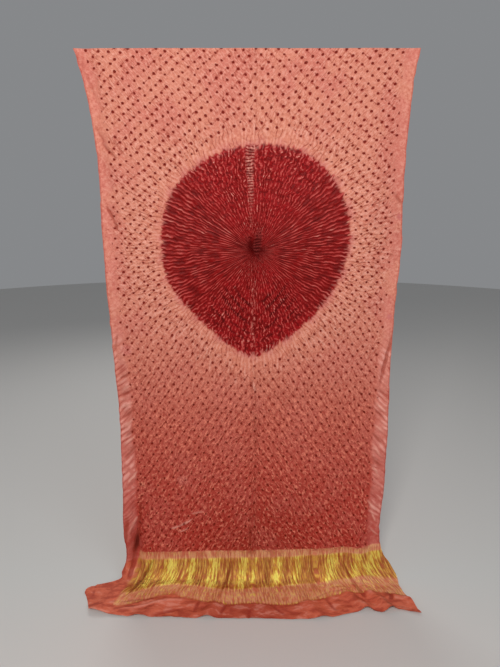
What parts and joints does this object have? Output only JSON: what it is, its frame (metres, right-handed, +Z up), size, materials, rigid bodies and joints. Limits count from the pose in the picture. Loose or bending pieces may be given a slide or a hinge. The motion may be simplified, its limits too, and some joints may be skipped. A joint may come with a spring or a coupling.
{
  "type": "bandhani cloth",
  "caption": "Tie-dyed silk cloth hung flat by its top edge, with a round gathered medallion, a dotted ground and a woven metallic band above a plain end that lies on the floor",
  "frame": {"origin": "the middle of the top edge, from which the cloth is held", "axes": "+Z up, along the length of the cloth; the front faces -Y; +X to the viewer's right"},
  "size_m": [1.0374, 0.198, 1.568],
  "materials": {
    "dyed_silk": "satin silk, puckered by the tied dots, with a woven gold zari band near its end"
  },
  "bodies": {
    "root": {"bandhani_cloth": "dyed_silk"}
  },
  "joints": []
}
